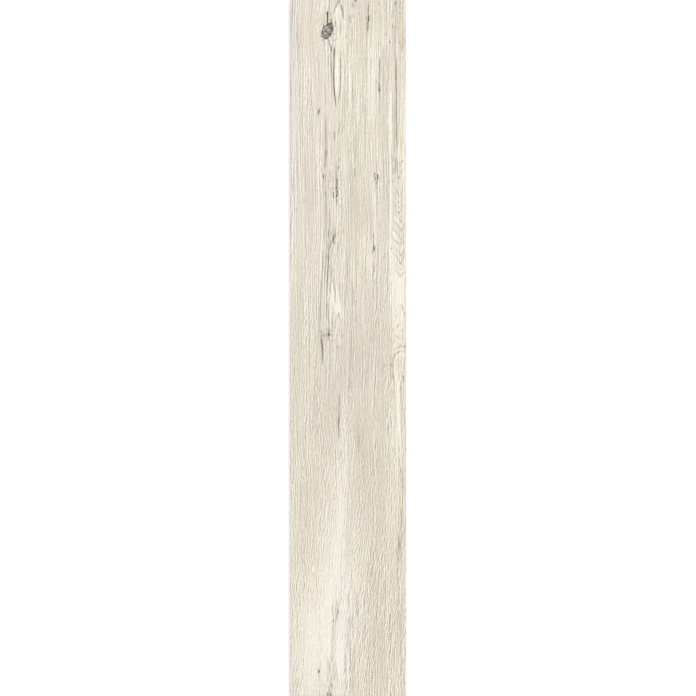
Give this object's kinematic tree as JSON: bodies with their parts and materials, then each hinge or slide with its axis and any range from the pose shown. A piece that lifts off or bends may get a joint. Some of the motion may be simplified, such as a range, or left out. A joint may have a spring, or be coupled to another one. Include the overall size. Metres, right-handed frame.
{
  "type": "wood look porcelain plank tile",
  "caption": "Long flat porcelain tile with a pale knotty wood plank face, bevelled top edges and a shallow waffle back, bedded in adhesive as floor or wall covering.",
  "frame": {"origin": "middle of the bed face, in the plane of the crests of the keying ribs that the tile rests on", "axes": "+Z out of the printed face, +Y along the plank's length towards the end with the large knot, +X across it to the right when that end is up"},
  "size_m": [0.2, 1.2, 0.009],
  "materials": {
    "porcelain": "matte"
  },
  "bodies": {
    "root": {"porcelain_plank": "porcelain"}
  },
  "joints": []
}
